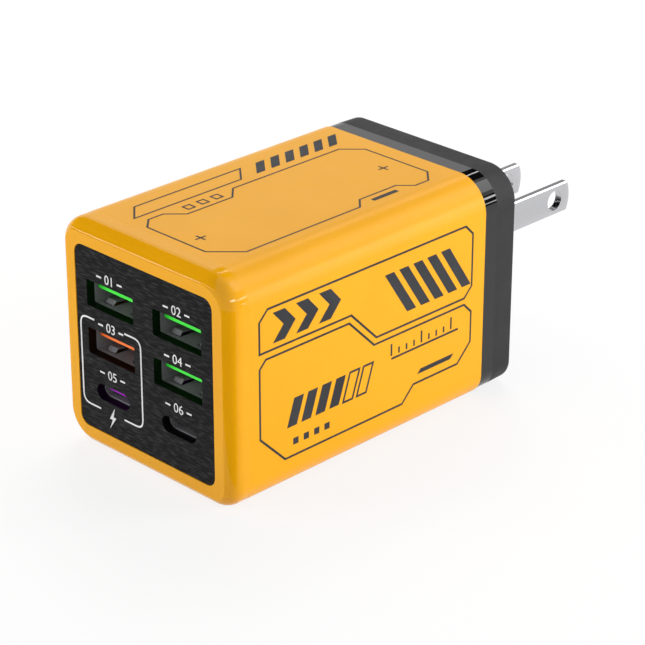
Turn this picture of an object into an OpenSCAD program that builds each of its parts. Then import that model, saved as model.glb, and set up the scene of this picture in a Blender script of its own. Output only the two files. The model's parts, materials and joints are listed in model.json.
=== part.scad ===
// Wall charger: four rectangular and two oval sockets in front, two flat
// blades at the back. Millimetres, +Z up, the sockets face -Y.
// Inside each module the origin is the centre of the front rim, and place()
// moves the piece so that the charger stands over the middle of its footprint.

/* [Housing] */
// Width of the housing
body_w = 44.4; // [44:0.1:54]
// Height of the housing
body_h = 44.4; // [44.4:0.1:54]
// Length of the coloured sleeve
sleeve_l = 65; // [64:0.5:90]
// Wall thickness of the sleeve
wall = 1.6; // [1.2:0.02:2]
// Radius of the top right and the bottom left long edge
edge_r = 6.7; // [5.5:0.1:8.5]
// Radius of the top left and the bottom right long edge
edge_s = 4.8; // [4:0.1:8.5]
// How far the rounding of the front rim reaches in from the sides
rim_w = 1.9; // [1:0.1:2.4]
// How far the rounding of the front rim reaches back along the sides
rim_l = 3.1; // [2.4:0.1:4]

/* [Front panel] */
// Width of the front panel
plate_w = 35.8; // [35:0.1:37]
// Height of the front panel
plate_h = 36; // [35:0.1:37]
// Corner radius of the front panel
plate_r = 2; // [1:0.1:3]
// Thickness of the front panel
plate_t = 1.8; // [1:0.1:2.4]
// How far the panel lies below the rim
plate_set = 0.1; // [0:0.05:0.5]
// Width of the ledge that the panel rests on
ledge_w = 1.3; // [1:0.1:1.6]
// Thickness of that ledge
ledge_t = 1.2; // [0.8:0.1:2]

/* [Sockets] */
// Distance between the two columns of sockets
column_pitch = 17.6; // [16.6:0.1:18]
// Distance between the rows of sockets
row_pitch = 9.45; // [7.5:0.05:9.8]
// Height of the middle row above the panel's centre
row_shift = -0.35; // [-0.6:0.05:0.6]
// Opening width of the rectangular socket
wide_w = 12.5; // [12.2:0.1:12.8]
// Opening height of the rectangular socket
wide_h = 5.12; // [4.9:0.02:5.4]
// Opening width of the oval socket
oval_w = 8.34; // [8.2:0.02:9]
// Opening height of the oval socket
oval_h = 2.56; // [2.4:0.02:2.8]
// Sheet thickness of the socket shells
sheet = 0.3; // [0.2:0.05:0.35]
// Depth of the sockets, from the panel to the socket board
socket_l = 13; // [12:0.2:15.6]
// Width of the tongue in the rectangular socket
wide_tongue_w = 11.1; // [10:0.1:11.4]
// Thickness of the tongue in the rectangular socket
wide_tongue_t = 1.84; // [1.6:0.02:2]
// Width of the tongue in the oval socket
oval_tongue_w = 6.69; // [6:0.01:6.9]
// Thickness of the tongue in the oval socket
oval_tongue_t = 0.7; // [0.6:0.05:0.8]

/* [Rear] */
// Length of the glossy ring
ring_l = 3.4; // [2:0.1:6]
// Length of the rear cap that shows
cap_l = 5.5; // [4:0.1:8]
// How far the ring and the cap lie inside the sleeve's faces
band_set = 0.15; // [0:0.05:0.4]
// Taper of the cap, on each side
cap_taper = 0.15; // [0:0.05:0.6]
// Radius round the cap's rear face
cap_r = 0.8; // [0.5:0.1:1.5]
// Thickness of the cap's rear wall
cap_wall = 2; // [1.6:0.1:3]
// Thickness of the cap's collar inside the sleeve
collar_t = 1.2; // [1:0.1:1.6]
// Length of the collar inside the sleeve
collar_l = 5; // [3.5:0.1:6]

/* [Blades] */
// Distance between the blades
blade_pitch = 12.7; // [12.4:0.1:13]
// Thickness of a blade
blade_t = 1.5; // [1.4:0.02:1.65]
// Height of a blade
blade_h = 6.35; // [6.1:0.05:6.6]
// Length of a blade behind the cap
blade_l = 34; // [15.9:0.1:36]
// Height of the blades above the housing's centre
blade_rise = 2.8; // [-3:0.1:5]
// How far the blade's end bulges out between its corners
tip_bulge = 1; // [0.4:0.1:1.5]
// Radius of the hole in a blade
blade_hole_r = 2.1; // [1.4:0.05:2.2]
// Distance of that hole from the tip
blade_hole_tip = 4.7; // [4:0.1:6]

/* [Boards] */
// Thickness of the circuit boards
board_t = 1.6; // [1:0.1:1.6]
// Height of the boards' outer faces above the housing's inner walls
board_stand = 4.4; // [4:0.1:6]
// Depth of the rails that hold the board edges
rail_grip = 0.6; // [0.4:0.1:0.6]
// Thickness of those rails
rail_t = 1.2; // [0.8:0.1:1.6]

/* [Power parts] */
// Largest diameter of the bulk capacitors
bulk_max_d = 12.5; // [10:0.5:12.5]
// Height of the bulk capacitors
bulk_h = 20; // [14:0.5:22]
// Width of the transformer core
core_w = 25; // [20:0.5:25]
// Height of the transformer core
core_h = 20; // [16:0.5:20]

/* [Hidden] */
$fn = 64;

wide_count = 4;
oval_count = 2;
bulk_count = 3;
coil_count = 3;
chip_count = 2;
function numbered(name, count) = [for (i = [1:count]) str(name, "_", i)];

// clearance between pieces that fit, and between parts that stand close
slip = 0.1;
loose = 0.3;
// how far a cut passes the faces that it opens
over = 1;

body_l = sleeve_l + ring_l + cap_l;
total_l = body_l + blade_l;

// inside of the sleeve
cav_w = body_w - 2 * wall;
cav_h = body_h - 2 * wall;
cav_r = edge_r - wall;
// the rim is one arc that leaves the sides smoothly and meets the front at a soft edge
rim_r = (rim_w * rim_w + rim_l * rim_l) / (2 * rim_w);

// stations along y
panel_back = plate_set + plate_t;
ledge_back = panel_back + ledge_t;
ledge_corner = 4;
port_board_y = panel_back + socket_l;
rail_end_gap = 0.6;
rail_y0 = port_board_y + board_t + rail_end_gap;
collar_y0 = sleeve_l - collar_l;
rail_y1 = collar_y0 - rail_end_gap;
cap_y0 = sleeve_l + ring_l;
cap_floor = body_l - cap_wall;

// posts under the corners of the socket board
post_r = 1.9;
post_pin_r = 0.9;
post_pin_top = 0.3;
post_out = 1.6;
post_x = cav_w / 2 - cav_r + post_out;
post_z = cav_h / 2 - cav_r + post_out;

// snap bumps of the cap and their pockets in the sleeve
snap_w = 10;
snap_l = 1.6;
snap_h = 0.5;
snap_y = collar_y0 + 1.2;

// The two long boards look at each other. Each one's inner face is at this
// height from the centre, and its outer face one board thickness further out.
inner_face = cav_h / 2 - board_stand - board_t;
outer_face = inner_face + board_t;
// half width of the cavity at a given height, beside its rounder corners
function reach(z) =
    cav_w / 2 - cav_r + sqrt(cav_r * cav_r - pow(max(0, abs(z) - cav_h / 2 + cav_r), 2));
board_half = reach(outer_face) - loose;
// how far the parts on a board may reach to each side
part_half = board_half - rail_grip - slip;

function side(i) = i % 2 == 1 ? -1 : 1;
function wide_at(i) =
    [side(i) * column_pitch / 2, panel_back, row_shift + (i <= 2 ? row_pitch : 0)];
function oval_at(i) = [side(i) * column_pitch / 2, panel_back, row_shift - row_pitch];

// shared shapes

module place() {
    translate([0, -total_l / 2, body_h / 2]) children();
}

module rounded(w, h, r) {
    square([w - 2 * r, h], center = true);
    square([w, h - 2 * r], center = true);
    for (x = [-1, 1], y = [-1, 1])
        translate([x * (w / 2 - r), y * (h / 2 - r)]) circle(r);
}

// The housing's outline, moved inwards by inset. Two of its corners are
// rounder than the other two.
module section(inset) {
    w = body_w - 2 * inset;
    h = body_h - 2 * inset;
    difference() {
        square([w, h], center = true);
        for (x = [-1, 1], y = [-1, 1]) {
            r = (x == y ? edge_s : edge_r) - inset;
            translate([x * w / 2, y * h / 2]) difference() {
                square(2 * r, center = true);
                translate([-x * r, -y * r]) circle(r);
            }
        }
    }
}

module oval(w, h) {
    square([w - h, h], center = true);
    for (x = [-1, 1]) translate([x * (w - h) / 2, 0]) circle(d = h);
}

// a rectangle with its corners cut off
module chamfered(w, h, c) {
    polygon([
        [c - w / 2, -h / 2], [w / 2 - c, -h / 2], [w / 2, c - h / 2], [w / 2, h / 2 - c],
        [w / 2 - c, h / 2], [c - w / 2, h / 2], [-w / 2, h / 2 - c], [-w / 2, c - h / 2]
    ]);
}

// an outline in x and -z, drawn from y0 to y1
module along_y(y0, y1) {
    translate([0, y0, 0]) rotate([-90, 0, 0]) linear_extrude(y1 - y0) children();
}

// an outline in y and z, drawn across x
module along_x(l) {
    rotate([90, 0, 90]) linear_extrude(l, center = true) children();
}

// an outline in x and y, drawn up z
module along_z(h) {
    translate([0, 0, -h / 2]) linear_extrude(h) children();
}

module bar(w, h, r, y0, y1) {
    along_y(y0, y1) rounded(w, h, r);
}

module body(inset, y0, y1) {
    along_y(y0, y1) section(inset);
}

// a box by its centre in x and z and its range in y
module block(x, z, w, h, y0, y1) {
    translate([x - w / 2, y0, z - h / 2]) cube([w, y1 - y0, h]);
}

// Takes a profile round the housing's outline. The profile's x is 0 at the
// outline and negative inside, and its y runs along the housing.
module edge_cut(inset) {
    w = body_w - 2 * inset;
    h = body_h - 2 * inset;
    r = edge_r - inset;
    s = edge_s - inset;
    for (turn = [0, 180]) rotate([0, turn, 0]) {
        translate([w / 2, 0, s - h / 2]) linear_extrude(h - r - s) children();
        rotate([0, -90, 0])
            translate([h / 2, 0, r - w / 2]) linear_extrude(w - r - s) children();
    }
    for (x = [0, 1], z = [0, 1]) {
        c = x == z ? s : r;
        mirror([x, 0, 0]) mirror([0, 0, z]) translate([w / 2 - c, 0, c - h / 2])
            rotate([-90, 0, 0]) rotate_extrude(angle = 90) translate([c, 0]) children();
    }
}

// housing

module rim_profile() {
    difference() {
        translate([-rim_w - over, -over]) square([rim_w + 2 * over, rim_l + over]);
        translate([-rim_r, rim_l]) circle(rim_r);
        translate([-rim_w - 2 * over, 0]) square([2 * over, rim_l]);
    }
}

// pairs of rails that hold a board whose lower face is at height z0
module rail_pair(z0) {
    root = cav_w / 2 + wall / 3;
    depth = root - board_half + rail_grip;
    for (s = [-1, 1], z = [z0 - rail_t, z0 + board_t + slip])
        translate([s > 0 ? root - depth : -root, rail_y0, z])
            cube([depth, rail_y1 - rail_y0, rail_t]);
}

module snap_bumps(h, grow) {
    for (s = [-1, 1]) {
        block(s * cav_w / 2, 0, 2 * h, snap_w + 2 * grow, snap_y - grow, snap_y + snap_l + grow);
        block(0, s * cav_h / 2, snap_w + 2 * grow, 2 * h, snap_y - grow, snap_y + snap_l + grow);
    }
}

module board_posts() {
    for (x = [-1, 1], z = [-1, 1]) translate([x * post_x, 0, z * post_z]) {
        along_y(ledge_back - ledge_t / 2, port_board_y) circle(post_r);
        along_y(port_board_y - over, port_board_y + board_t + post_pin_top) circle(post_pin_r);
    }
}

module main_shell() {
    color("orange") place() {
        difference() {
            body(0, 0, sleeve_l);
            edge_cut(0) rim_profile();
            body(wall, ledge_back, sleeve_l + over);
            bar(plate_w + 2 * slip, plate_h + 2 * slip, plate_r + slip, -over, panel_back);
            bar(plate_w - 2 * ledge_w, plate_h - 2 * ledge_w, ledge_corner, 0, ledge_back + over);
            snap_bumps(snap_h + slip, slip);
        }
        rail_pair(-outer_face);
        rail_pair(inner_face);
        board_posts();
    }
}

window_r = 0.3;

module front_panel() {
    color("#2b2b2d") place() difference() {
        bar(plate_w, plate_h, plate_r, plate_set, panel_back);
        for (i = [1:wide_count])
            translate(wide_at(i)) bar(wide_w, wide_h, window_r, -plate_t - over, over);
        for (i = [1:oval_count]) translate(oval_at(i))
            along_y(-plate_t - over, over) oval(oval_w + 2 * sheet, oval_h + 2 * sheet);
    }
}

module trim_ring() {
    color("#111111") place() difference() {
        body(band_set, sleeve_l, cap_y0);
        body(wall, sleeve_l - over, cap_y0 + over);
    }
}

// profile that tapers the cap and rounds its rear edge
module cap_profile() {
    polygon([
        [0, 0], [over, 0], [over, cap_l + over],
        [-cap_taper, cap_l + over], [-cap_taper, cap_l]
    ]);
    translate([-cap_taper - cap_r, cap_l - cap_r]) difference() {
        square([cap_r + over, cap_r + over]);
        circle(cap_r);
    }
}

// carrier of the blades, behind the cap's rear wall
holder_w = blade_pitch + blade_t + 6;
holder_h = blade_h + 5;
holder_l = 5;
holder_y = cap_floor - holder_l;
ear_w = 4.6;
ear_h = holder_h - 3;
ear_t = 2;
boss_r = 2.2;
boss_bore_r = 0.8;
screw_x = holder_w / 2 + ear_w / 2;

module screw_bosses() {
    for (s = [-1, 1]) translate([s * screw_x, 0, blade_rise]) difference() {
        along_y(holder_y + ear_t, cap_floor + cap_wall / 2) circle(boss_r);
        along_y(holder_y, cap_floor) circle(boss_bore_r);
    }
}

module rear_cap() {
    color("#3a3a3c") place() {
        difference() {
            union() {
                difference() {
                    body(band_set, cap_y0, body_l);
                    translate([0, cap_y0, 0]) edge_cut(band_set) cap_profile();
                }
                body(wall + slip, collar_y0, cap_y0 + over);
                snap_bumps(snap_h, 0);
            }
            body(wall + collar_t, collar_y0 - over, cap_floor);
            for (s = [-1, 1])
                block(s * blade_pitch / 2, blade_rise, blade_t + slip, blade_h + slip,
                    cap_floor - over, body_l + over);
        }
        screw_bosses();
    }
}

// blades and their carrier

root_l = 5;
root_y = holder_y - root_l;
shoulder_h = 1.2;
shoulder_l = 2.5;
blade_edge = 0.25;
tip_r = (pow(blade_h / 2, 2) + tip_bulge * tip_bulge) / (2 * tip_bulge);
tip_taper_l = 1.2;

// the blade's side view: straight, with a bulging end
module blade_outline(y0) {
    tip_y = body_l + blade_l;
    translate([y0, -blade_h / 2]) square([tip_y - tip_bulge - y0, blade_h]);
    intersection() {
        translate([tip_y - tip_r, 0]) circle(tip_r);
        translate([tip_y - 2 * tip_bulge, -blade_h / 2]) square([2 * tip_bulge, blade_h]);
    }
}

// the blade seen from above, thinner towards the tip
module blade_plan() {
    tip_y = body_l + blade_l;
    half = blade_t / 2;
    polygon([
        [-half, cap_floor], [-half, tip_y - tip_taper_l], [blade_edge - half, tip_y],
        [half - blade_edge, tip_y], [half, tip_y - tip_taper_l], [half, cap_floor]
    ]);
}

module blade(s) {
    color("lightgray") place() translate([s * blade_pitch / 2, 0, blade_rise]) {
        block(0, 0, blade_t, blade_h, root_y, cap_floor);
        block(0, 0, blade_t, blade_h + 2 * shoulder_h, cap_floor - shoulder_l, cap_floor);
        difference() {
            intersection() {
                along_x(blade_t) blade_outline(cap_floor);
                along_y(cap_floor, body_l + blade_l) chamfered(blade_t, blade_h, blade_edge);
                along_z(blade_h) blade_plan();
            }
            translate([0, body_l + blade_l - blade_hole_tip, 0])
                rotate([0, 90, 0]) cylinder(r = blade_hole_r, h = blade_t + over, center = true);
        }
    }
}

module blade_left() {
    blade(-1);
}

module blade_right() {
    blade(1);
}

screw_hole_r = 1.1;

module blade_holder() {
    color("#e8e4da") place() translate([0, 0, blade_rise]) difference() {
        union() {
            block(0, 0, holder_w, holder_h, holder_y, cap_floor);
            block(0, 0, holder_w + 2 * ear_w, ear_h, holder_y, holder_y + ear_t);
        }
        for (s = [-1, 1]) {
            block(s * blade_pitch / 2, 0, blade_t + slip, blade_h + slip,
                holder_y - over, cap_floor + over);
            block(s * blade_pitch / 2, 0, blade_t + slip, blade_h + 2 * shoulder_h + slip,
                cap_floor - shoulder_l - slip, cap_floor + over);
            translate([s * screw_x, 0, 0])
                along_y(holder_y - over, holder_y + ear_t + over) circle(screw_hole_r);
        }
    }
}

head_r = 1.9;
head_t = 1.1;
cross_l = 2.6;
cross_w = 0.5;
shank_r = 0.78;
shank_gap = 0.4;

module holder_screws() {
    color("gray") place() for (s = [-1, 1]) translate([s * screw_x, 0, blade_rise]) {
        difference() {
            along_y(holder_y - head_t, holder_y) circle(head_r);
            for (turn = [0, 90]) rotate([0, turn, 0])
                block(0, 0, cross_l, cross_w, holder_y - head_t - over, holder_y - head_t / 2);
        }
        along_y(holder_y - head_t / 2, cap_floor - shank_gap) circle(shank_r);
    }
}

// bent strip from the main board up to the blade's inner end
contact_t = 0.4;
contact_l = 3;
contact_foot = 2.4;
contact_lead = 2;
contact_y = root_y + 0.4;

module ac_contact(s) {
    x = blade_t / 2;
    top = -blade_rise - blade_h / 2;
    color("goldenrod") place() translate([s * blade_pitch / 2, contact_y, 0])
        mirror([s < 0 ? 1 : 0, 0, 0]) along_y(0, contact_l) polygon([
            [x, inner_face], [x + contact_foot, inner_face],
            [x + contact_foot, inner_face - contact_t], [x + contact_t, inner_face - contact_t],
            [x + contact_t, top], [x + 3 * contact_t, top - contact_lead],
            [x + 2 * contact_t, top - contact_lead], [x, top]
        ]);
}

module ac_contact_left() {
    ac_contact(-1);
}

module ac_contact_right() {
    ac_contact(1);
}

// rectangular sockets

finger_w = 2.2;
finger_gap = 0.4;
finger_x = 3.65;
finger_y0 = 0.9;
finger_y1 = 8;
finger_bow = 0.7;
shell_r = 0.6;
tongue_set = 0.45;
tongue_drop = 0.38;
tongue_z = wide_h / 2 - tongue_drop - wide_tongue_t / 2;
tongue_face = tongue_z - wide_tongue_t / 2;
base_y = 9.4;
base_r = 0.3;
leg_w = 2;
leg_l = 2.2;
pin_x = [-3.5, -1, 1, 3.5];
pin_w = 1;
pin_t = 0.3;
pin_bow = 0.25;

// sprung finger, with z 0 at the shell's inner face
module finger_profile() {
    tip = finger_y0 + finger_gap;
    crest = finger_y0 + 1;
    root = finger_y1 + 0.5;
    polygon([
        [root, 0], [finger_y1, 0], [crest, finger_bow], [tip, 0.1],
        [tip, -0.2], [crest, finger_bow - sheet], [finger_y1, -sheet], [root, -sheet]
    ]);
}

module usb_a_shell(i) {
    color("silver") place() translate(wide_at(i)) {
        difference() {
            bar(wide_w + 2 * sheet, wide_h + 2 * sheet, shell_r, 0, socket_l);
            bar(wide_w, wide_h, shell_r - sheet, -over, socket_l + over);
            for (x = [-finger_x, finger_x])
                block(x, -wide_h / 2, finger_w + 2 * finger_gap, 1, finger_y0, finger_y1);
        }
        for (x = [-finger_x, finger_x])
            translate([x, 0, -wide_h / 2]) along_x(finger_w) finger_profile();
        for (s = [-1, 1])
            block(s * (wide_w + sheet) / 2, 0, sheet, leg_w, socket_l - over, socket_l + leg_l);
    }
}

module usb_a_core(i) {
    color(i == 3 ? "#ff7d32" : "#3cf03c") place() translate(wide_at(i)) difference() {
        union() {
            bar(wide_w - slip, wide_h - slip, base_r, base_y, socket_l);
            block(0, tongue_z, wide_tongue_w, wide_tongue_t, tongue_set, base_y + over);
        }
        for (x = pin_x)
            block(x, tongue_face - pin_t / 2, pin_w + slip, pin_t, base_y - over, socket_l + over);
    }
}

// contact strip along the underside of the tongue, with its sprung bow
module pin_profile() {
    end = socket_l + leg_l;
    polygon([
        [2, 0], [3, -pin_bow], [4.4, -pin_bow], [5.4, 0], [end, 0],
        [end, -pin_t], [5.2, -pin_t], [4.3, -pin_bow - pin_t], [3.1, -pin_bow - pin_t], [2, -0.2]
    ]);
}

module usb_a_contacts(i) {
    color("gold") place() translate(wide_at(i))
        for (x = pin_x) translate([x, 0, tongue_face]) along_x(pin_w) pin_profile();
}

// oval sockets

oval_shell_l = 10.3;
oval_tongue_set = 0.4;
oval_base_y = 6.2;
oval_rib_y = 4.8;
oval_rib_t = 0.7;
foot_w = 1.6;
foot_h = 2;
pad_w = 0.28;
pad_t = 0.08;
pad_pitch = 0.5;
pad_y = 1;
pads = 12;

module usb_c_shell(i) {
    color("silver") place() translate(oval_at(i)) difference() {
        along_y(0, oval_shell_l) oval(oval_w + 2 * sheet, oval_h + 2 * sheet);
        along_y(-over, oval_shell_l + over) oval(oval_w, oval_h);
    }
}

module usb_c_core(i) {
    color(i == 1 ? "#b400ff" : "#1c1c1e") place() translate(oval_at(i)) {
        block(0, 0, oval_tongue_w, oval_tongue_t, oval_tongue_set, oval_base_y + over);
        block(0, 0, oval_tongue_w, oval_tongue_t + oval_rib_t, oval_rib_y, oval_base_y + over);
        along_y(oval_base_y, oval_shell_l + over / 2) oval(oval_w - slip, oval_h - slip);
        block(0, 0, oval_w + foot_w, oval_h + foot_h, oval_shell_l, socket_l);
    }
}

module usb_c_contacts(i) {
    color("gold") place() translate(oval_at(i)) for (n = [0:pads - 1], s = [-1, 1])
        block((n - (pads - 1) / 2) * pad_pitch, s * (oval_tongue_t + pad_t) / 2, pad_w, pad_t,
            pad_y, oval_rib_y);
}

// boards

board_y1 = rail_y1;
tail_y1 = contact_y + contact_l + 0.4;
tail_half = part_half - collar_t - 1;

header_w = 0.64;
header_pitch = 2.54;
header_x = [for (n = [-3.5:3.5]) n * header_pitch];
header_z = inner_face - 1.2;
header_y = rail_y0 + 2;
header_top = outer_face + 0.8;
header_tail = 0.6;

module port_board() {
    y0 = port_board_y - over;
    y1 = port_board_y + board_t + over;
    rail_room = 2 * (cav_w / 2 - board_half + rail_grip + loose);
    color("darkgreen") place() difference() {
        body(wall + loose, port_board_y, port_board_y + board_t);
        for (x = [-1, 1], z = [-1, 1]) {
            translate([x * post_x, 0, z * post_z]) along_y(y0, y1) circle(post_pin_r + slip);
            block(x * cav_w / 2, z * (inner_face + board_t / 2), rail_room,
                board_t + 2 * rail_t + 3 * loose, y0, y1);
        }
        for (i = [1:wide_count]) translate([wide_at(i)[0], 0, wide_at(i)[2]]) {
            for (s = [-1, 1])
                block(s * (wide_w + sheet) / 2, 0, sheet + 2 * slip, leg_w + 2 * slip, y0, y1);
            for (x = pin_x)
                block(x, tongue_face - pin_t / 2, pin_w + 2 * slip, pin_t + 2 * slip, y0, y1);
        }
        for (x = header_x)
            block(x, header_z, header_w + slip, header_w + slip, y0, y1);
    }
}

module main_board() {
    z = -outer_face + board_t / 2;
    color("darkgreen") place() {
        block(0, z, 2 * board_half, board_t, rail_y0, board_y1);
        block(0, z, 2 * tail_half, board_t, board_y1 - over, tail_y1);
    }
}

module output_board() {
    half = (header_w + slip) / 2;
    color("darkgreen") place() difference() {
        block(0, outer_face - board_t / 2, 2 * board_half, board_t, rail_y0, board_y1);
        for (x = header_x)
            block(x, outer_face, 2 * half, 3 * board_t, header_y - half, header_y + half);
    }
}

// angled pins that join the socket board and the output board
module header_pins() {
    y1 = header_y + header_w / 2;
    color("gold") place() for (x = header_x) {
        block(x, header_z, header_w, header_w, port_board_y - header_tail, y1);
        block(x, (header_z + header_top) / 2, header_w, header_top - header_z, y1 - header_w, y1);
    }
}

// straight pins between the two long boards
link_count = 4;
link_x = board_half - 10;
link_y = rail_y0 + 1;

module link_pins() {
    color("gold") place() for (n = [0:link_count - 1])
        block(link_x + n * header_pitch, 0, header_w, 2 * inner_face, link_y, link_y + header_w);
}

// The parts on the main board stand in rows from the front: transformer,
// bulk capacitors, mains filter. The transformer gives up length first.
bulk_gap = 0.5;
bulk_d = min(bulk_max_d, (2 * part_half - (bulk_count - 1) * bulk_gap) / bulk_count);
row_y0 = rail_y0 + 0.6;
filter_room = 6.6;
former_room = board_y1 - row_y0 - bulk_d - 2 * loose - filter_room - 0.2;
former_l = min(21.6, former_room);

// transformer

core_l = 12;
core_leg = 4;
core_mid = 7;
core_gap = 0.5;
core_x = core_w / 2 - part_half;
core_y = row_y0 + former_l / 2;
core_z = -inner_face + core_gap + core_h / 2;
window_w = (core_w - 2 * core_leg - core_mid) / 2;
window_h = core_h - 2 * core_leg;
flange_t = 1;
foot_l = 3;
tube_wall = 0.7;
former_w = core_mid + 2 * window_w - 2 * slip;
hole_w = core_mid + 2 * slip;
hole_l = core_l + 2 * slip;
tube_w = hole_w + 2 * tube_wall;
tube_l = hole_l + 2 * tube_wall;

module transformer_core() {
    color("#303034") place() translate([core_x, core_y, core_z]) difference() {
        cube([core_w, core_l, core_h], center = true);
        for (s = [-1, 1]) translate([s * (core_mid + window_w) / 2, 0, 0])
            cube([window_w, core_l + over, window_h], center = true);
    }
}

module transformer_bobbin() {
    foot_z = -core_h / 2 - core_gap;
    flange_z = window_h / 2 - flange_t / 2 - slip;
    color("#202020") place() translate([core_x, core_y, core_z]) {
        difference() {
            union() {
                for (s = [-1, 1]) translate([0, 0, s * flange_z])
                    cube([former_w, former_l, flange_t], center = true);
                cube([tube_w, tube_l, window_h - 2 * slip], center = true);
            }
            cube([hole_w, hole_l, core_h], center = true);
        }
        for (y = [-former_l / 2, former_l / 2 - foot_l])
            translate([-former_w / 2, y, foot_z]) cube([former_w, foot_l, -flange_z - foot_z]);
    }
}

winding_in = [0.8, 1.2];
winding_r = 2;

module transformer_winding() {
    color("#c8a020") place() translate([core_x, core_y, core_z]) difference() {
        along_z(window_h - 2 * slip - 2 * flange_t)
            rounded(former_w - winding_in[0], former_l - winding_in[1], winding_r);
        cube([tube_w, tube_l, core_h], center = true);
    }
}

// bulk capacitors: crimped near the foot, with a rolled top edge

bulk_y = row_y0 + former_l + loose + bulk_d / 2;
crimp_z = 2.1;
crimp_t = 0.4;
crimp_half = 0.5;
roll = 0.5;
roll_w = 1.4;
roll_drop = 0.2;

module bulk_capacitor(i) {
    r = bulk_d / 2;
    color("#26324a") place()
        translate([(i - (bulk_count + 1) / 2) * (bulk_d + bulk_gap), bulk_y, -inner_face])
            rotate_extrude() polygon([
                [0, 0], [r - crimp_t, 0], [r, crimp_t], [r, crimp_z - crimp_half],
                [r - crimp_t, crimp_z], [r, crimp_z + crimp_half], [r, bulk_h - roll],
                [r - roll, bulk_h], [r - roll_w, bulk_h],
                [r - roll_w - roll_drop, bulk_h - roll_drop], [0, bulk_h - roll_drop]
            ]);
}

// mains filter behind the bulk capacitors: the choke on the left, the film
// capacitor in the middle, the rectifier and the fuse on the right

filter_y = bulk_y + bulk_d / 2 + loose;
filter_l = board_y1 - filter_y - 0.2;
choke_d = 13;
choke_bore_d = 6.6;
choke_end = 1;
wire_t = 0.95;
wrap = 140;
choke_x = -board_half + choke_d / 2 + 2;
choke_z = -inner_face + choke_d / 2 + wire_t + 0.15;

module choke_core() {
    color("#3c6e3c") place() translate([choke_x, 0, choke_z]) difference() {
        along_y(filter_y + choke_end, filter_y + filter_l - choke_end) circle(d = choke_d);
        along_y(filter_y, filter_y + filter_l) circle(d = choke_bore_d);
    }
}

// two half rings of wire round the core
module choke_winding() {
    in = choke_bore_d / 2;
    out = choke_d / 2;
    color("#b87333") place() translate([choke_x, filter_y + filter_l / 2, choke_z])
        for (turn = [20, 200]) rotate([-90, 0, 0]) rotate([0, 0, turn])
            rotate_extrude(angle = wrap) difference() {
                translate([in - wire_t, -filter_l / 2]) square([out - in + 2 * wire_t, filter_l]);
                translate([in - 0.05, wire_t - filter_l / 2])
                    square([out - in + 0.1, filter_l - 2 * wire_t]);
            }
}

rectifier_w = 8;
rectifier_h = 6.8;
rectifier_l = 2.4;
rectifier_x = board_half - 5.5;
fuse_d = 2.8;
fuse_cap_d = 3.2;
fuse_l = 8.8;
fuse_cap_l = 2;
fuse_y = filter_y + filter_l - fuse_cap_d / 2 - 0.1;
film_w = 13;
film_h = 11;
film_l = 5;
film_x0 = choke_x + choke_d / 2 + 1.9;
film_x1 = min(film_x0 + film_w, rectifier_x - fuse_l / 2 - 2 * slip);

module x_capacitor() {
    color("#d8c23a") place()
        block((film_x0 + film_x1) / 2, -inner_face + film_h / 2, film_x1 - film_x0, film_h,
            filter_y, filter_y + film_l);
}

module bridge_rectifier() {
    color("#1c1c1c") place()
        block(rectifier_x, -inner_face + rectifier_h / 2, rectifier_w, rectifier_h,
            filter_y, filter_y + rectifier_l);
}

module fuse() {
    color("#d9d2bf") place()
        translate([rectifier_x, fuse_y, -inner_face + fuse_cap_d / 2]) rotate([0, 90, 0]) {
            cylinder(d = fuse_d, h = fuse_l - fuse_cap_l, center = true);
            for (s = [-1, 1]) translate([0, 0, s * (fuse_l - fuse_cap_l) / 2])
                cylinder(d = fuse_cap_d, h = fuse_cap_l, center = true);
        }
}

// power switch on its heat spreader, at the right edge beside the transformer

spreader_t = 1.2;
spreader_h = 19;
spreader_foot = 5;
spreader_y0 = rail_y0 + 3;
spreader_l = min(17, former_l - 3);
spreader_x = part_half - slip - spreader_t;
switch_t = 1.6;
switch_w = 9;
switch_stand = 3;
switch_y = spreader_y0 + 4;
switch_leg_w = 0.8;
switch_leg_t = 0.5;
switch_leg_at = [0.6, 1.5];

module heat_spreader() {
    color("#c4c8cc") place() translate([spreader_x, spreader_y0, -inner_face]) {
        cube([spreader_t, spreader_l, spreader_h]);
        translate([-spreader_foot, 0, 0])
            cube([spreader_foot + spreader_t / 2, spreader_l, spreader_t]);
    }
}

module gan_switch() {
    color("#18181a") place()
        translate([spreader_x - switch_t, switch_y, -inner_face + switch_stand]) {
            cube([switch_t, switch_w, switch_w]);
            for (n = [0:2])
                translate([switch_leg_at[0], switch_leg_at[1] + n * header_pitch,
                    spreader_t - switch_stand])
                    cube([switch_leg_t, switch_leg_w, switch_stand]);
        }
}

// small parts between the transformer and the heat spreader

small_x = core_x + core_w / 2 + 3.2;
chip_t = 1.5;
chip_w = 4.4;
chip_l = 6;
disc_d = 6.4;
disc_t = 3;
disc_stand = 4.2;
disc_x = small_x + 0.4;
disc_y = rail_y0 + 14;
lead_w = 0.6;
lead_h = 2.4;
lead_x = 1.8;

module controller_chip() {
    y0 = rail_y0 + 4;
    color("#1a1a1a") place()
        block(small_x, -inner_face + chip_t / 2, chip_w, chip_t, y0, y0 + chip_l);
}

module y_capacitor() {
    lead_y = disc_y + (disc_t - lead_w) / 2;
    color("#3a6fb0") place() translate([disc_x, 0, -inner_face]) {
        translate([0, 0, disc_stand]) along_y(disc_y, disc_y + disc_t) circle(d = disc_d);
        for (s = [-1, 1])
            block(s * lead_x, lead_h / 2, lead_w, lead_h, lead_y, lead_y + lead_w);
    }
}

// parts that hang from the output board

coil_pitch = 11;
can_d = 8;
can_h = 7.3;
can_edge = 0.4;
can_y = rail_y0 + 12;
coil_w = 7;
coil_h = 4.5;
coil_notch = 1.4;
converter_w = 5;
converter_t = 1;
converter_x = 6;
converter_y = bulk_y + 8;

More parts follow.
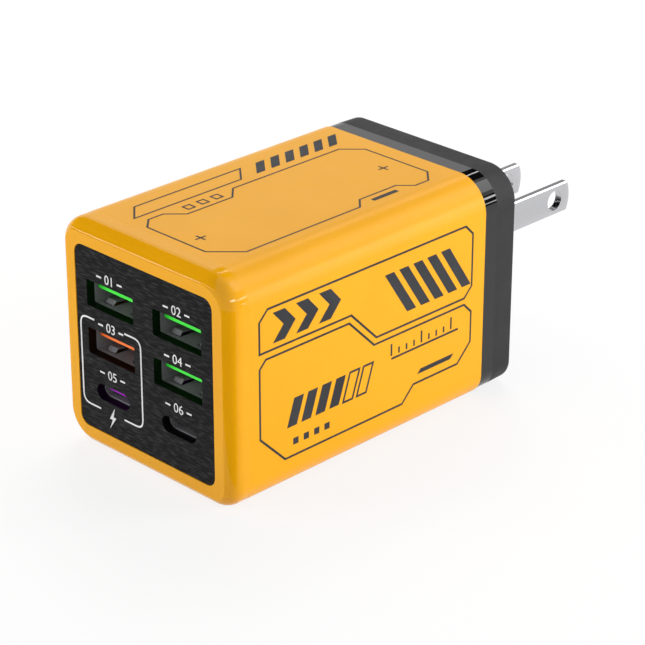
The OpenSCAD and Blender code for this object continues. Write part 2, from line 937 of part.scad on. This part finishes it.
module hang(x, y) {
    place() translate([x, y, inner_face]) mirror([0, 0, 1]) children();
}

module polymer_capacitor(i) {
    r = can_d / 2;
    color("#b9bdc4") hang((i - 2) * coil_pitch, can_y) rotate_extrude() polygon([
        [0, 0], [r - can_edge, 0], [r, can_edge],
        [r, can_h - can_edge], [r - can_edge, can_h], [0, can_h]
    ]);
}

module output_inductor(i) {
    color("#4a4a50") hang((i - 2) * coil_pitch, bulk_y) difference() {
        translate([-coil_w / 2, -coil_w / 2, 0]) cube([coil_w, coil_w, coil_h]);
        for (turn = [0:90:270]) rotate([0, 0, turn])
            translate([coil_w / 2, coil_w / 2, coil_h / 2]) rotate([0, 0, 45])
                cube([coil_notch, coil_notch, 2 * coil_h], center = true);
    }
}

module converter_chip(i) {
    color("#1a1a1a") hang(side(i) * converter_x, converter_y)
        translate([-converter_w / 2, 0, 0]) cube([converter_w, converter_w, converter_t]);
}

film_t = 0.4;

module insulation_sheet() {
    color("#d8d4c4") place()
        block(0, (film_t - cav_h) / 2, cav_w - 2 * cav_r - 1, film_t, rail_y0, board_y1);
}

main_shell();
front_panel();
trim_ring();
rear_cap();
blade_left();
blade_right();
blade_holder();
holder_screws();
ac_contact_left();
ac_contact_right();
for (i = [1:wide_count]) {
    usb_a_shell(i);
    usb_a_core(i);
    usb_a_contacts(i);
}
for (i = [1:oval_count]) {
    usb_c_shell(i);
    usb_c_core(i);
    usb_c_contacts(i);
}
port_board();
main_board();
output_board();
header_pins();
link_pins();
transformer_core();
transformer_bobbin();
transformer_winding();
for (i = [1:bulk_count])
    bulk_capacitor(i);
choke_core();
choke_winding();
x_capacitor();
y_capacitor();
bridge_rectifier();
fuse();
gan_switch();
heat_spreader();
controller_chip();
for (i = [1:coil_count]) {
    polymer_capacitor(i);
    output_inductor(i);
}
for (i = [1:chip_count])
    converter_chip(i);
insulation_sheet();
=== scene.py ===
import json
import math

import bmesh
import bpy
from mathutils import Matrix, Vector


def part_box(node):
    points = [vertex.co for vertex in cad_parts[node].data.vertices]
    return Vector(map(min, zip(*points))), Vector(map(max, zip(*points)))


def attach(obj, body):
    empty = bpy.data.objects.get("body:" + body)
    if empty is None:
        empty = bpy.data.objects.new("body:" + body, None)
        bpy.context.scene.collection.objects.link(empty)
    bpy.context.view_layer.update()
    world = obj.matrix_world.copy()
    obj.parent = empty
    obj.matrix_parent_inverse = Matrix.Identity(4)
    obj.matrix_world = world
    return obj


MM = 0.001

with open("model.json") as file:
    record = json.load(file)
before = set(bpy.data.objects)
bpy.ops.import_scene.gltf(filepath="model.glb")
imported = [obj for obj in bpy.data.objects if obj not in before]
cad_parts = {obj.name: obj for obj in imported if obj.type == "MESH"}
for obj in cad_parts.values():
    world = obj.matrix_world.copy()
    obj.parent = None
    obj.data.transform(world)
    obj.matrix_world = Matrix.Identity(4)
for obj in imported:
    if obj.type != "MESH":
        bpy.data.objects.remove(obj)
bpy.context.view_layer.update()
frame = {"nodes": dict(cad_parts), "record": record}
nodes = frame["nodes"]
record = frame["record"]

shell_low, shell_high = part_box("main_shell")
panel_low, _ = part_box("front_panel")
middle_z = (shell_low.z + shell_high.z) / 2


# node helpers: a value that varies over the surface is handed on as an output socket

# for each kind of mix, the numbers of its first, second and result socket
MIX_SOCKETS = {"FLOAT": (2, 3, 0), "RGBA": (6, 7, 2)}

# most of a noise's values lie between these
NOISE_LOW = 0.3
NOISE_HIGH = 0.7


def linear(colour):
    """A colour written as sRGB from 0 to 255, as linear RGBA."""
    parts = [c / 255 for c in colour]
    return [c / 12.92 if c <= 0.04045 else ((c + 0.055) / 1.055) ** 2.4 for c in parts] + [1.0]


def new_material(name):
    mat = bpy.data.materials.new(name)
    mat.use_nodes = True
    return mat


def main_shader(mat):
    return mat.node_tree.nodes["Principled BSDF"]


def add(tree, kind, **values):
    """A new node with some inputs set: From_Min=0.3 sets the input From Min."""
    node = tree.nodes.new(kind)
    for key, value in values.items():
        node.inputs[key.replace("_", " ")].default_value = value
    return node


def link(tree, start, end):
    tree.links.new(start, end)


def feed(tree, value, end):
    """Links a socket, or sets a number or a colour."""
    if isinstance(value, bpy.types.NodeSocket):
        link(tree, value, end)
    else:
        end.default_value = value


def source(socket):
    """The output that feeds a socket now."""
    return socket.links[0].from_socket


def calculate(tree, operation, *values):
    node = add(tree, "ShaderNodeMath")
    node.operation = operation
    for value, end in zip(values, node.inputs):
        feed(tree, value, end)
    return node.outputs[0]


def map_range(tree, value, low, high, to_low=0.0, to_high=1.0):
    """to_low where value is at most low, to_high where it is at least high, and even between."""
    node = add(tree, "ShaderNodeMapRange", From_Min=low, From_Max=high, To_Min=to_low, To_Max=to_high)
    link(tree, value, node.inputs["Value"])
    return node.outputs["Result"]


def over(tree, value, edge, soft=0.02):
    """0 below edge and 1 above it, in mm, with a short step of soft to each side."""
    return map_range(tree, value, (edge - soft) * MM, (edge + soft) * MM)


def blend(tree, kind, fac, first, second):
    """first where fac is 0 and second where it is 1, as numbers (FLOAT) or colours (RGBA)."""
    node = add(tree, "ShaderNodeMix")
    node.data_type = kind
    a, b, result = MIX_SOCKETS[kind]
    link(tree, fac, node.inputs[0])
    feed(tree, first, node.inputs[a])
    feed(tree, second, node.inputs[b])
    return node.outputs[result]


def mix_shaders(tree, fac, first, second):
    node = add(tree, "ShaderNodeMixShader")
    for value, end in zip((fac, first, second), node.inputs):
        link(tree, value, end)
    return node.outputs[0]


def own_place(tree):
    """The point's place in the object's own coordinates, in metres."""
    return add(tree, "ShaderNodeTexCoord").outputs["Object"]


def own_axis(tree, axis):
    """The object's own X, Y or Z in metres."""
    split = add(tree, "ShaderNodeSeparateXYZ")
    link(tree, own_place(tree), split.inputs[0])
    return split.outputs[axis]


def noise(tree, size, stretch=(1, 1, 1), detail=2.0):
    """Noise fixed to the object, with features of about size in mm times stretch."""
    mapping = add(tree, "ShaderNodeMapping", Scale=[1 / (size * MM * s) for s in stretch])
    texture = add(tree, "ShaderNodeTexNoise", Scale=1.0, Detail=detail)
    link(tree, own_place(tree), mapping.inputs["Vector"])
    link(tree, mapping.outputs["Vector"], texture.inputs["Vector"])
    return texture.outputs["Fac"]


def ramp(tree, fac, stops):
    """A colour ramp over (position, sRGB colour) stops."""
    node = add(tree, "ShaderNodeValToRGB")
    elements = node.color_ramp.elements
    while len(elements) < len(stops):
        elements.new(0.5)
    for element, (position, colour) in zip(elements, stops):
        element.position = position
        element.color = linear(colour)
    link(tree, fac, node.inputs["Fac"])
    return node.outputs["Color"]


def bump(tree, shader, fac, height, strength=1.0):
    """Bump of height mm."""
    node = add(tree, "ShaderNodeBump", Strength=strength, Distance=height * MM)
    link(tree, fac, node.inputs["Height"])
    link(tree, node.outputs["Normal"], shader.inputs["Normal"])


# materials

def surface(name, dark, light, rough, grain=0.15, height=0.003, patch=8, metal=0.0, level=0.5,
            stretch=(1, 1, 1)):
    """Two tones in soft patches of patch mm, with roughness over the range rough, and a grain of grain mm
    that is height mm high. level is the specular level."""
    mat = new_material(name)
    tree = mat.node_tree
    shader = main_shader(mat)
    tone = ramp(tree, noise(tree, patch, stretch), [(0.35, dark), (0.65, light)])
    wear = map_range(tree, noise(tree, patch / 4, stretch), NOISE_LOW, NOISE_HIGH, *rough)
    link(tree, tone, shader.inputs["Base Color"])
    link(tree, wear, shader.inputs["Roughness"])
    bump(tree, shader, noise(tree, grain, stretch, detail=3.0), height)
    shader.inputs["Metallic"].default_value = metal
    shader.inputs["Specular IOR Level"].default_value = level
    return mat


def polish_rim(mat):
    """Makes the rounded rim in front glossy, and leaves the rest satin."""
    rim_depth = 4.5
    fade = 0.8
    polished = 0.035
    tree = mat.node_tree
    roughness = main_shader(mat).inputs["Roughness"]
    behind_rim = over(tree, own_axis(tree, "Y"), shell_low.y / MM + rim_depth, fade)
    link(tree, blend(tree, "FLOAT", behind_rim, polished, source(roughness)), roughness)


def paint_blade_edge_light(mat):
    """Paints a highlight into the colour of the bevels on a blade's long edges, and a darker painted
    reflection into the narrow faces between them.
    """
    blade_height = 6.35
    bevel = 0.25
    narrow = 0.03
    bevel_highlight = linear((250, 250, 252))
    narrow_face_dark_reflection = linear((158, 158, 161))
    hole = next(m for m in record["mounts"] if m["name"] == "blade_hole_left")
    blade_middle = hole["pos_m"][2]
    tree = mat.node_tree
    colour = main_shader(mat).inputs["Base Color"]
    from_middle = calculate(tree, "SUBTRACT", own_axis(tree, "Z"), blade_middle)
    distance = calculate(tree, "ABSOLUTE", from_middle)
    # painted highlight: the bevels get a near-white colour
    tone = blend(tree, "RGBA", over(tree, distance, blade_height / 2 - bevel), source(colour), bevel_highlight)
    # painted reflection: the narrow faces get a darker colour
    tone = blend(tree, "RGBA", over(tree, distance, blade_height / 2 - narrow), tone, narrow_face_dark_reflection)
    link(tree, tone, colour)


def tongue_light_on_window_walls(tree):
    """Painted light in the colour of the tongue behind a window, on that window's cut faces, chosen by the
    window's place.
    """
    below_first_row = 26.6
    below_second_row = 17.1
    green = linear((3, 24, 3))
    orange = linear((20, 8, 2))
    purple = linear((16, 2, 22))
    black = linear((6, 6, 7))
    height = own_axis(tree, "Z")
    first_row = over(tree, height, below_first_row)
    upper_rows = over(tree, height, below_second_row)
    left = blend(tree, "RGBA", upper_rows, purple, orange)
    left = blend(tree, "RGBA", first_row, left, green)
    right = blend(tree, "RGBA", upper_rows, black, green)
    return blend(tree, "RGBA", over(tree, own_axis(tree, "X"), 0), left, right)


def panel_material():
    """Black plate brushed across, with painted light in the tongue's colour on the cut faces of its windows.
    """
    front_skin = 0.12
    fade = 0.05
    mat = new_material("panel")
    tree = mat.node_tree
    shader = main_shader(mat)
    lines = noise(tree, 0.22, stretch=(9, 1, 1), detail=5.0)
    brushed = ramp(tree, lines, [(0.3, (1, 1, 2)), (0.5, (12, 12, 13)), (0.68, (48, 48, 50))])
    behind_front = over(tree, own_axis(tree, "Y"), panel_low.y / MM + front_skin, fade)
    # behind the front skin, the cut faces get painted light in the colour of the tongue behind them
    tone = blend(tree, "RGBA", behind_front, brushed, tongue_light_on_window_walls(tree))
    link(tree, tone, shader.inputs["Base Color"])
    link(tree, map_range(tree, lines, NOISE_LOW, NOISE_HIGH, 0.55, 0.4), shader.inputs["Roughness"])
    bump(tree, shader, lines, 0.005, 0.5)
    shader.inputs["Specular IOR Level"].default_value = 0.1
    return mat


# each slot's dark tone, light tone and range of roughness, then what else its surface needs
SURFACES = {
    "sleeve": ((229, 161, 12), (232, 164, 15), (0.3, 0.36),
               dict(grain=0.25, height=0.001, patch=15, level=0.23)),
    "ring": ((10, 10, 11), (14, 14, 15), (0.04, 0.07), dict(grain=3, height=0.001)),
    "cap": ((39, 39, 40), (46, 46, 47), (0.5, 0.6), dict(grain=0.12, height=0.004, level=0.22)),
    "blade": ((190, 190, 193), (200, 200, 203), (0.2, 0.3),
              dict(grain=0.1, height=0.001, metal=1.0, stretch=(1, 30, 1))),
    "socket_steel": ((128, 128, 132), (144, 144, 148), (0.4, 0.5), dict(metal=0.25, stretch=(1, 12, 1))),
    "tongue_green": ((45, 232, 45), (62, 245, 62), (0.35, 0.45), {}),
    "tongue_orange": ((250, 112, 34), (255, 128, 48), (0.35, 0.45), {}),
    "tongue_purple": ((212, 20, 255), (228, 44, 255), (0.35, 0.45), {}),
    "tongue_black": ((24, 24, 26), (32, 32, 34), (0.4, 0.5), {}),
    "contact": ((214, 170, 84), (232, 190, 104), (0.2, 0.3), dict(metal=1.0)),
    "screw": ((160, 160, 164), (182, 182, 186), (0.25, 0.35), dict(metal=1.0)),
    "board": ((10, 74, 34), (18, 90, 44), (0.3, 0.4), dict(grain=0.4, height=0.004)),
    "ferrite": ((40, 40, 43), (54, 54, 58), (0.55, 0.7), dict(grain=0.2, height=0.008)),
    "black_plastic": ((24, 24, 25), (34, 34, 35), (0.4, 0.5), {}),
    "white_plastic": ((222, 217, 204), (232, 228, 216), (0.4, 0.5), {}),
    "tape": ((205, 168, 42), (222, 186, 60), (0.25, 0.35), dict(grain=0.8, height=0.01)),
    "capacitor_sleeve": ((26, 38, 66), (36, 50, 82), (0.25, 0.35), {}),
    "aluminium": ((190, 192, 196), (206, 208, 212), (0.3, 0.4), dict(metal=1.0)),
    "copper_wire": ((176, 96, 44), (202, 122, 62), (0.25, 0.35),
                    dict(metal=1.0, grain=0.5, height=0.08, stretch=(1, 8, 1))),
    "blue_coating": ((44, 98, 166), (58, 114, 182), (0.2, 0.3), {}),
    "chip": ((26, 26, 27), (36, 36, 37), (0.5, 0.6), dict(height=0.006)),
    "ink": ((42, 43, 47), (50, 51, 55), (0.4, 0.5), dict(level=0.2, grain=0.3, height=0.002)),
    "white_ink": ((214, 214, 214), (228, 228, 228), (0.5, 0.6), dict(level=0.3)),
}

materials = {name: surface(name, *tones, **special) for name, (*tones, special) in SURFACES.items()}
materials["panel"] = panel_material()
polish_rim(materials["sleeve"])
paint_blade_edge_light(materials["blade"])

for part in record["subparts"]:
    slots = nodes[part["node"]].data.materials
    slots.clear()
    slots.append(materials[part["material_slot"]])


# objects

def put(name, data):
    """A new object in the scene."""
    obj = bpy.data.objects.new(name, data)
    bpy.context.scene.collection.objects.link(obj)
    return obj


def mesh_from(bm, name, material):
    mesh = bpy.data.meshes.new(name)
    bm.to_mesh(mesh)
    bm.free()
    mesh.materials.append(material)
    return mesh


# printed marks: thin closed solids on a face, drawn in that face's own mm

INK = 0.02
SUNK = 0.05


def on_side(u, v, h):
    """u from the front rim, v from mid height, h out of the right side."""
    return Vector((shell_high.x + h * MM, shell_low.y + u * MM, middle_z + v * MM))


def on_top(u, v, h):
    """u from the front rim, v towards the left, h above the top."""
    return Vector((-v * MM, shell_low.y + u * MM, shell_high.z + h * MM))


def on_panel(u, v, h):
    """u to the right, v from mid height, h out of the panel."""
    return Vector((u * MM, panel_low.y - h * MM, middle_z + v * MM))


def prism(bm, face, outline):
    """A closed solid from an outline in one face's coordinates."""
    rings = [[bm.verts.new(face(u, v, h)) for u, v in outline] for h in (-SUNK, INK)]
    bm.faces.new(rings[0])
    bm.faces.new(list(reversed(rings[1])))
    count = len(outline)
    for i in range(count):
        j = (i + 1) % count
        bm.faces.new([rings[0][j], rings[0][i], rings[1][i], rings[1][j]])


def offset_points(points, width, closed):
    """The points of a line moved sideways by half its width, mitred at the corners."""
    count = len(points)
    moved = []
    for i, p in enumerate(points):
        before = points[i - 1] if closed or i > 0 else None
        after = points[(i + 1) % count] if closed or i < count - 1 else None
        normals = []
        for a, b in ((before, p), (p, after)):
            if a is not None and b is not None:
                d = (Vector(b) - Vector(a)).normalized()
                normals.append(Vector((-d.y, d.x)))
        middle = (normals[0] + normals[-1]).normalized()
        moved.append(Vector(p) + middle * (width / 2 / middle.dot(normals[0])))
    return moved


def stroke(bm, face, points, width, closed=False):
    """A line of even width: one small solid for each straight run, with mitred ends."""
    left = offset_points(points, width, closed)
    right = offset_points(points, -width, closed)
    runs = len(points) if closed else len(points) - 1
    for i in range(runs):
        j = (i + 1) % len(points)
        prism(bm, face, [left[i], left[j], right[j], right[i]])


def printed(bm, name, ink):
    """Makes the marks drawn so far one piece of the object."""
    bmesh.ops.recalc_face_normals(bm, faces=bm.faces)
    obj = put(name, mesh_from(bm, name, materials[ink]))
    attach(obj, "root")


def row(first, pitch, count):
    """The places of count things, pitch apart."""
    return [first + pitch * i for i in range(count)]


def slanted(u, v, width, height, lean=0):
    """A bar from its lower left corner, with its upper edge moved by lean."""
    return [(u, v), (u + width, v), (u + width + lean, v + height), (u + lean, v + height)]


def chevron(u, v, reach, half, width):
    """An arrow head that points along u, half high to each side of v."""
    return [(u, v + half), (u + width, v + half), (u + width + reach, v),
            (u + width, v - half), (u, v - half), (u + reach, v)]


def rounded_path(corners, radius, steps=6):
    """The corners of an open path, each inner one rounded."""
    path = [Vector(corners[0])]
    for before, corner, after in zip(corners, corners[1:], corners[2:]):
        a = (Vector(before) - Vector(corner)).normalized()
        b = (Vector(after) - Vector(corner)).normalized()
        start = Vector(corner) + a * radius
        end = Vector(corner) + b * radius
        for n in range(steps + 1):
            t = n / steps
            path.append(start * (1 - t) ** 2 + Vector(corner) * 2 * t * (1 - t) + end * t ** 2)
    path.append(Vector(corners[-1]))
    return path


def side_print():
    """Two framed fields: arrows and bars in the upper one, bars, a scale and marks in the lower one."""
    line = 0.42
    upper = [(7, 7), (7, 13), (9, 15), (59.5, 15), (61.5, 13), (61.5, 2.5), (59.5, 0.5), (36, 0.5), (29.5, 7)]
    lower = [(8.5, 5.6), (29, 5.6), (35.4, -0.8), (59.5, -0.8), (61.5, -2.8), (61.5, -9), (58, -12.5),
             (46, -12.5), (43, -15.5), (13, -15.5), (7, -9.5), (7, 4.1)]
    level_bars = [slanted(u, -9.6, width=2.4, height=5.4, lean=1.8) for u in row(13.5, 3.5, 6)]
    filled = 4
    bm = bmesh.new()
    for outline in (upper, lower, *level_bars[filled:]):
        stroke(bm, on_side, outline, line, closed=True)
    for bar in level_bars[:filled]:
        prism(bm, on_side, bar)
    for u in row(10.2, 5.6, 3):
        prism(bm, on_side, chevron(u, 11, reach=2.6, half=2.9, width=2.9))
    for u in row(44, 3.7, 5):
        prism(bm, on_side, slanted(u, 3, width=2.4, height=9, lean=-6))
    for u in row(15, 2.6, 4):
        prism(bm, on_side, slanted(u, -13.4, width=1.3, height=1.3))
    prism(bm, on_side, slanted(47, -10.8, width=9, height=0.9, lean=0.9))
    ruler(bm, line)
    printed(bm, "side_print", "ink")


def ruler(bm, line):
    """Marks over a base line, every fourth one twice as long."""
    pitch = 2
    marks = row(40, pitch, 9)
    base = -5.2
    foot = -4.6
    short = 1.2
    for i, u in enumerate(marks):
        length = 2 * short if i % 4 == 0 else short
        stroke(bm, on_side, [(u, foot), (u, foot + length)], line)
    stroke(bm, on_side, [(marks[0], base), (marks[-1] + pitch, base)], line)


def top_print():
    """One large frame with two crosses, and a flat field with bars beside it."""
    line = 0.36
    main = [(7, -9), (12, -14), (40, -14), (42.5, -11.5), (52, -11.5), (54.5, -14), (58, -14), (61, -11),
            (61, 5), (57.5, 8.5), (30, 8.5), (27, 5.5), (16, 5.5), (13, 8.5), (9.5, 8.5), (7, 6)]
    field = slanted(8, 10.6, width=26, height=4, lean=3.5)
    squares = [slanted(u, 6.9, width=1.6, height=1.6) for u in row(17.6, 3.4, 3)]
    cross_v = -4
    arm = 1.2
    bm = bmesh.new()
    for outline in (main, field, *squares):
        stroke(bm, on_top, outline, line, closed=True)
    for u in row(38, 3.8, 6):
        prism(bm, on_top, slanted(u, 10.6, width=2.2, height=4, lean=3.5))
    prism(bm, on_top, slanted(44, -13.8, width=6.4, height=1))
    for u in (10.5, 56.5):
        stroke(bm, on_top, [(u - arm, cross_v), (u + arm, cross_v)], line)
        stroke(bm, on_top, [(u, cross_v - arm), (u, cross_v + arm)], line)
    printed(bm, "top_print", "ink")


def charge_bracket():
    """Rounded frame round the left pair of sockets, open above and below, with a bolt below."""
    line = 0.34
    radius = 1.8
    high = 4.1
    low = -13.35
    bolt = [(-8.5, -12), (-9.95, -14.55), (-9.2, -14.55), (-10.0, -16.6), (-8.2, -13.95), (-8.95, -13.95)]
    bm = bmesh.new()
    for side, gap_above, gap_below in ((-17.05, -13.3, -12.35), (-0.85, -5.1, -5.9)):
        corners = [(gap_above, high), (side, high), (side, low), (gap_below, low)]
        stroke(bm, on_panel, rounded_path(corners, radius), line)
    prism(bm, on_panel, bolt)
    printed(bm, "charge_bracket", "white_ink")


def digits(bm, text, u, v, height):
    """Plain numbers from the built-in typeface, as closed solids."""
    curve = bpy.data.curves.new("digits", "FONT")
    curve.body = text
    curve.extrude = 0.5
    curve.align_x = "CENTER"
    curve.resolution_u = 4
    holder = bpy.data.objects.new("digits", curve)
    mesh = bpy.data.meshes.new_from_object(holder)
    low = min(p.co.y for p in mesh.vertices)
    high = max(p.co.y for p in mesh.vertices)
    size = height / (high - low)
    for p in mesh.vertices:
        x, y, z = p.co
        p.co = on_panel(u + x * size, v + (y - (low + high) / 2) * size, INK if z > 0 else -SUNK)
    bm.from_mesh(mesh)
    bpy.data.objects.remove(holder)
    bpy.data.curves.remove(curve)
    bpy.data.meshes.remove(mesh)


def socket_numbers():
    """A number over each socket, with a dash to each side of it."""
    heights = {"usb_a_shell_1": 13.1, "usb_a_shell_2": 13.1, "usb_a_shell_3": 3.7, "usb_a_shell_4": 3.7,
               "usb_c_shell_1": -5.75, "usb_c_shell_2": -5.75}
    digit_height = 1.8
    dash_near = 2.1
    dash_far = 3.4
    dash_width = 0.34
    bm = bmesh.new()
    for number, (name, v) in enumerate(heights.items(), 1):
        low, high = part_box(name)
        u = (low.x + high.x) / 2 / MM
        digits(bm, f"{number:02d}", u, v, digit_height)
        for side in (-1, 1):
            stroke(bm, on_panel, [(u + side * dash_near, v), (u + side * dash_far, v)], dash_width)
    printed(bm, "socket_numbers", "white_ink")


side_print()
top_print()
charge_bracket()
socket_numbers()


# floor, light and camera

def seen_rays(tree):
    """1 for camera, mirror and glass rays."""
    path = add(tree, "ShaderNodeLightPath")
    total = path.outputs["Is Camera Ray"]
    for name in ("Is Glossy Ray", "Is Transmission Ray"):
        total = calculate(tree, "MAXIMUM", total, path.outputs[name])
    return total


def studio_world(ambient):
    """Lights the scene from all round with strength ambient, and is seen as plain white."""
    world = bpy.data.worlds.new("studio")
    bpy.context.scene.world = world
    world.use_nodes = True
    tree = world.node_tree
    tree.nodes.clear()
    white = (1, 1, 1, 1)
    lit = add(tree, "ShaderNodeBackground", Color=white, Strength=ambient)
    seen = add(tree, "ShaderNodeBackground", Color=white, Strength=1.0)
    out = add(tree, "ShaderNodeOutputWorld")
    link(tree, mix_shaders(tree, seen_rays(tree), lit.outputs[0], seen.outputs[0]), out.inputs["Surface"])


def floor_material(near_white, near, far):
    """Pale matte floor. Its own white grows from near_white round the object, at near metres, to plain
    white at far metres, so that a soft shadow stays."""
    mat = new_material("floor")
    tree = mat.node_tree
    shader = main_shader(mat)
    tone = ramp(tree, noise(tree, 400), [(0.3, (243, 243, 243)), (0.7, (247, 247, 247))])
    link(tree, tone, shader.inputs["Base Color"])
    shader.inputs["Roughness"].default_value = 0.9
    shader.inputs["Specular IOR Level"].default_value = 0.0
    distance = add(tree, "ShaderNodeVectorMath")
    distance.operation = "LENGTH"
    link(tree, own_place(tree), distance.inputs[0])
    white = map_range(tree, distance.outputs["Value"], near, far, near_white)
    share = calculate(tree, "MULTIPLY", seen_rays(tree), white)
    glow = add(tree, "ShaderNodeEmission", Strength=1.0)
    both = mix_shaders(tree, share, shader.outputs[0], glow.outputs[0])
    link(tree, both, tree.nodes["Material Output"].inputs["Surface"])
    return mat


def floor(size, near_white, near=0.2, far=0.7):
    bm = bmesh.new()
    bmesh.ops.create_grid(bm, x_segments=1, y_segments=1, size=size / 2)
    obj = put("floor", mesh_from(bm, "floor", floor_material(near_white, near, far)))
    obj.location.z = -0.1 * MM


def softbox(name, place, size, level):
    """Area light that faces the object. level 1 lights a surface that faces it as a white world does."""
    light = bpy.data.lights.new(name, "AREA")
    light.shape = "RECTANGLE"
    light.size, light.size_y = size
    aim = Vector((0, 0, middle_z)) - Vector(place)
    light.energy = level * (math.pi * aim.length) ** 2
    obj = put(name, light)
    obj.location = place
    obj.rotation_euler = aim.to_track_quat("-Z", "Y").to_euler()
    obj.visible_camera = False
    obj.visible_glossy = False


def glow_material(name, strength):
    """Light of its own and nothing else."""
    mat = new_material(name)
    tree = mat.node_tree
    tree.nodes.clear()
    glow = add(tree, "ShaderNodeEmission", Strength=strength)
    out = add(tree, "ShaderNodeOutputMaterial")
    link(tree, glow.outputs[0], out.inputs["Surface"])
    return mat


def card(name, toward, distance, along, size, glow, middle=(0, 0, middle_z)):
    """A card beside the object that only mirror rays see, as a dark or bright field in gloss. It lies
    distance metres from middle in the direction toward, with its first side along."""
    toward = Vector(toward).normalized()
    centre = Vector(middle) + toward * distance
    side = (Vector(along) - toward * toward.dot(Vector(along))).normalized()
    other = toward.cross(side)
    bm = bmesh.new()
    corners = [centre + side * (a * size[0] / 2) + other * (b * size[1] / 2)
               for a, b in ((-1, -1), (1, -1), (1, 1), (-1, 1))]
    bm.faces.new([bm.verts.new(corner) for corner in corners])
    obj = put(name, mesh_from(bm, name, glow_material(name, glow)))
    obj.visible_camera = False
    obj.visible_diffuse = False
    obj.visible_shadow = False
    obj.visible_transmission = False


def camera(place, azimuth, elevation, roll, focal_px, frame_px, sensor=36.0):
    """Camera at place in metres, turned in degrees, with its focal length in pixels of the frame."""
    data = bpy.data.cameras.new("camera")
    data.sensor_width = sensor
    data.lens = focal_px / frame_px * sensor
    data.clip_start = 0.01
    data.clip_end = 20
    obj = put("camera", data)
    turn = (Matrix.Rotation(math.radians(azimuth), 4, "Z")
            @ Matrix.Rotation(math.radians(90 - elevation), 4, "X")
            @ Matrix.Rotation(math.radians(roll), 4, "Z"))
    obj.matrix_world = Matrix.Translation(place) @ turn
    bpy.context.scene.camera = obj


studio_world(ambient=0.35)
floor(size=12, near_white=0.82)

# name, place, size and level
softbox("key", (0.52, 0.45, 0.1), (0.4, 0.4), 1.36)
softbox("top", (-0.35, 0.42, 0.56), (0.5, 0.5), 0.74)
softbox("front", (-0.42, -0.56, 0.1), (0.4, 0.4), 0.66)
softbox("fill", (0.5, -0.5, 0.36), (0.3, 0.3), 0.14)

# dark fields and bright lines for the gloss: name, direction, distance, first side, size and glow
ALONG = (0, 1, 0)
ACROSS = (1, 0, 0)
card("dark_front", (-0.639, -0.36, 0.68), 0.65, ALONG, (1.05, 0.9), 0.0)
card("line_front", (-0.639, -0.665, 0.386), 0.6, ACROSS, (0.7, 0.016), 9.0)
card("dark_rear", (-0.35, 0.639, 0.685), 0.7, ALONG, (0.4, 0.48), 0.0)
card("line_rear", (-0.373, 0.639, 0.673), 0.65, ALONG, (0.4, 0.03), 8.0)
card("dark_right", (0.745, 0.639, 0.19), 0.65, ALONG, (0.4, 0.27), 0.0)
card("line_right_high", (0.713, 0.639, 0.288), 0.6, ALONG, (0.5, 0.045), 10.0)
card("line_right_low", (0.765, 0.639, 0.08), 0.6, ALONG, (0.4, 0.022), 8.0)
card("dark_floor", (0, 0, -1), 0.0, ALONG, (0.5, 0.4), 0.0, middle=(0.23, -0.304, 0.5 * MM))
card("glow_edge", (0.36, 0.656, 0.66), 0.62, ALONG, (0.5, 0.3), 3.0)
card("line_corner", (0.897, -0.13, 0.435), 0.6, ALONG, (0.36, 0.05), 20.0)

camera(place=(0.30127, -0.31218, 0.21813), azimuth=44.853, elevation=25.399, roll=0.075,
       focal_px=2507.4, frame_px=645)

bpy.context.scene.view_settings.view_transform = "Standard"
